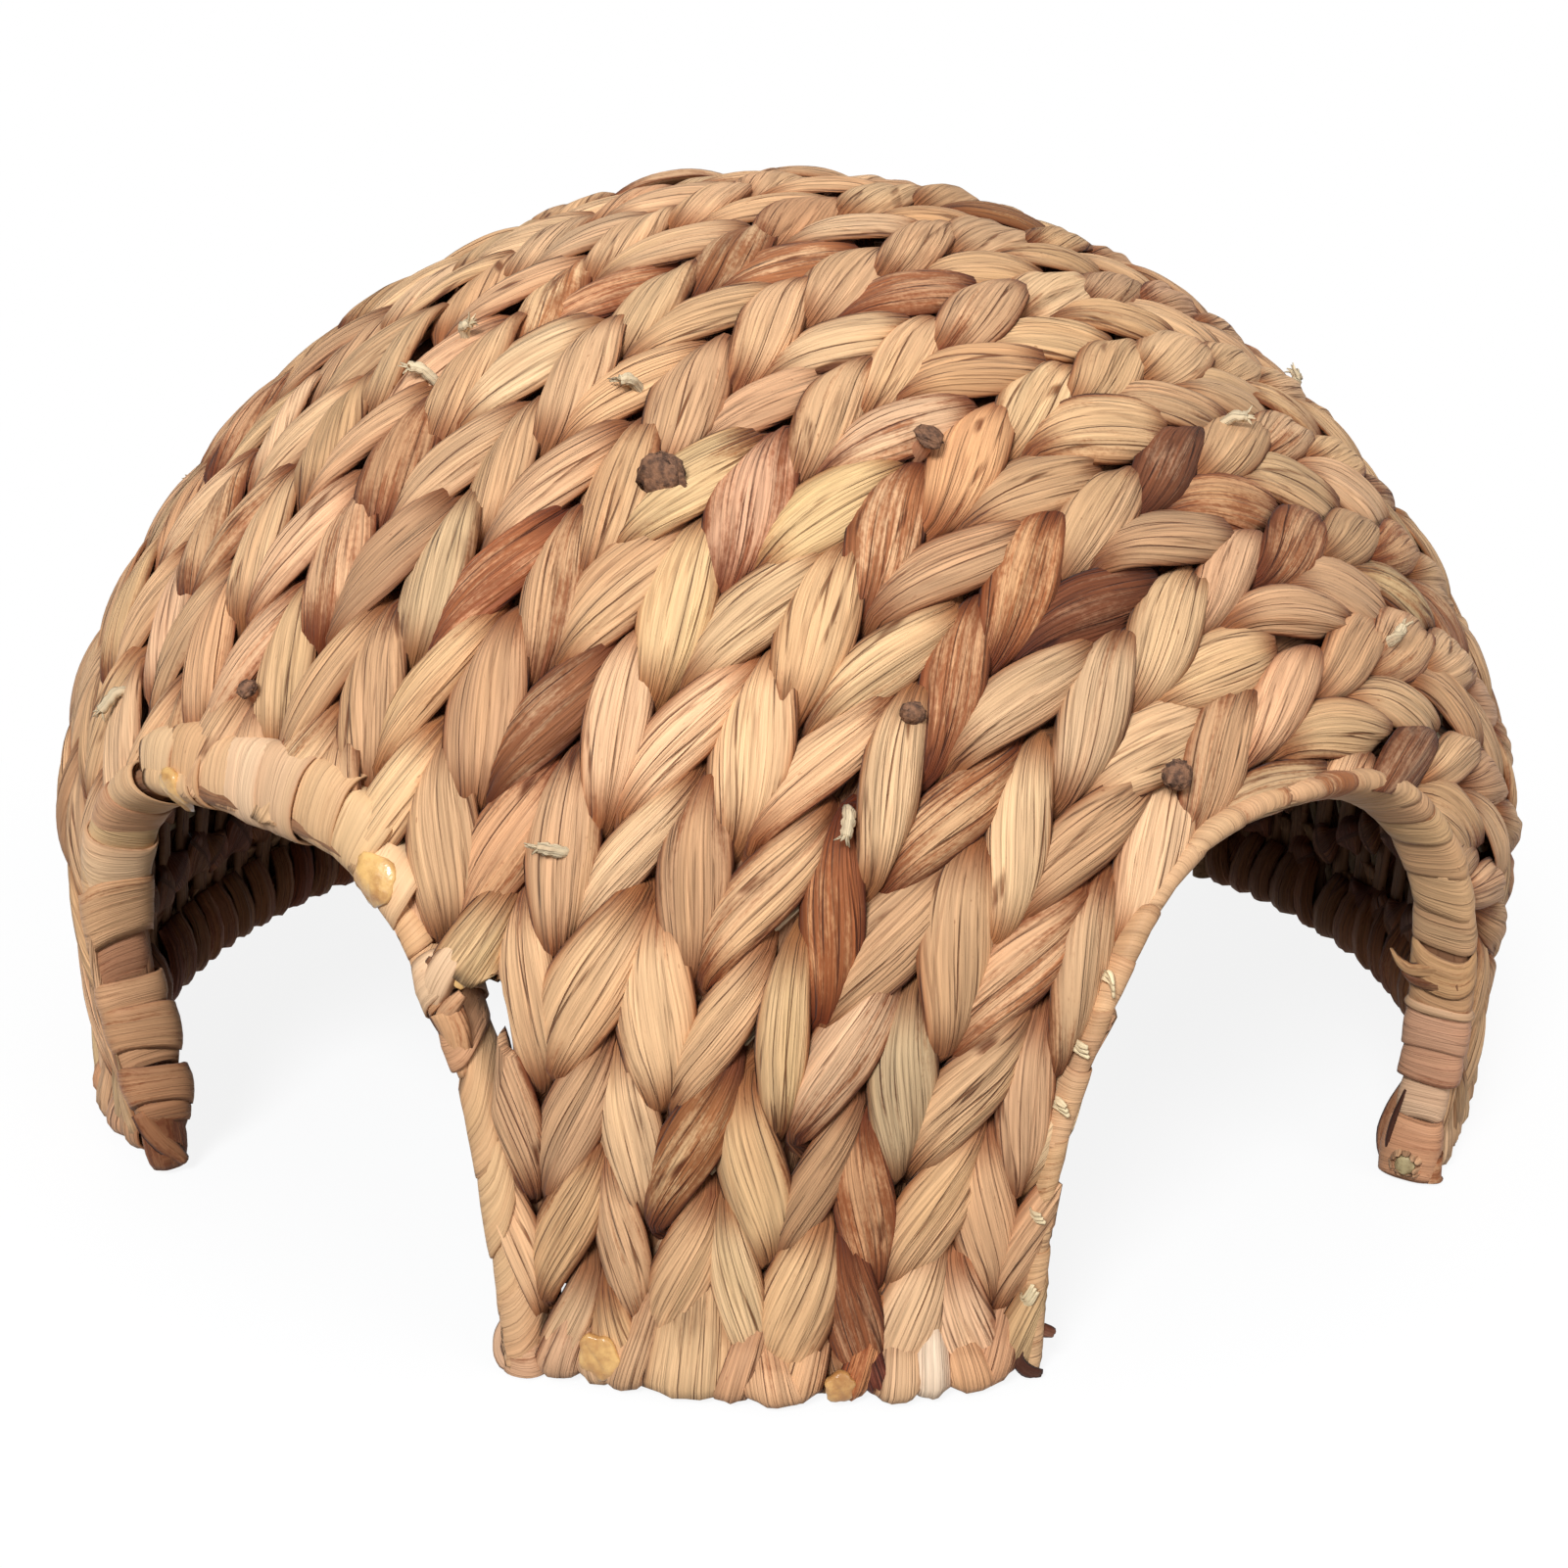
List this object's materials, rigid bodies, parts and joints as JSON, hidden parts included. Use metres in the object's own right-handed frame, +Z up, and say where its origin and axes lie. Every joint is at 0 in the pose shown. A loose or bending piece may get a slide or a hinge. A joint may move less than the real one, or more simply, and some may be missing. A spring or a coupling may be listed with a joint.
{
  "type": "woven grass pet house",
  "caption": "Dome-shaped hide for small pets, twined from flat dried grass strands, with an arched opening between each two of its feet.",
  "frame": {"origin": "centre of the dome's footprint, on the surface that the feet stand on", "axes": "+Z up through the top of the dome; -Y towards the front foot, between the two front openings; +X to the right as seen from the front"},
  "size_m": [0.4, 0.4002, 0.2449],
  "materials": {
    "strand": "matte",
    "binding": "matte",
    "wire": "satin",
    "cane": "matte",
    "glue": "gloss"
  },
  "bodies": {
    "root": {"woven_shell": "strand", "rim_binding_front_right": "binding", "rim_binding_front_left": "binding", "rim_binding_back_right": "binding", "rim_binding_back_left": "binding", "arch_wire_front_right": "wire", "arch_wire_front_left": "wire", "arch_wire_back_right": "wire", "arch_wire_back_left": "wire", "base_rod_front": "cane", "base_rod_right": "cane", "base_rod_left": "cane", "base_rod_back": "cane", "strand_ends": "cane", "glue_drops": "glue"}
  },
  "joints": []
}
